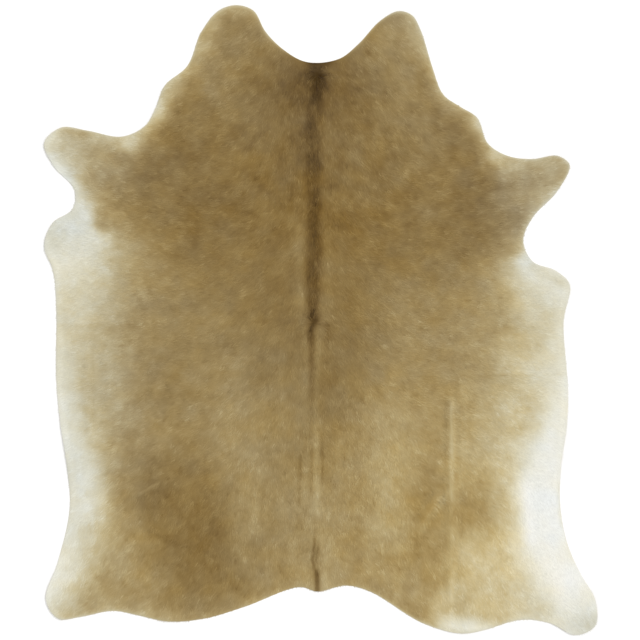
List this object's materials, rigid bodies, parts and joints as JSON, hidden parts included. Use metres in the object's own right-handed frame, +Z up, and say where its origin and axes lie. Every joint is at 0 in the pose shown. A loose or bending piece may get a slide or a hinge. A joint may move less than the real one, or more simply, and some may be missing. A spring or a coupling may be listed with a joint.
{
  "type": "hair-on cowhide rug",
  "caption": "Whole hair-on cowhide laid flat as a floor rug, with natural neck flaps, forelegs, belly edges, hind shanks and soft fold creases.",
  "frame": {"origin": "on the floor, under the middle of the rug's bounding box", "axes": "+Y along the spine towards the neck, +X across the belly to the right with the coat facing up, +Z up from the floor through the coat"},
  "size_m": [1.8635, 2.1191, 0.0114],
  "materials": {
    "coat": "short lying cow hair, matt with a slight sheen"
  },
  "bodies": {
    "root": {"hide": "coat"}
  },
  "joints": []
}
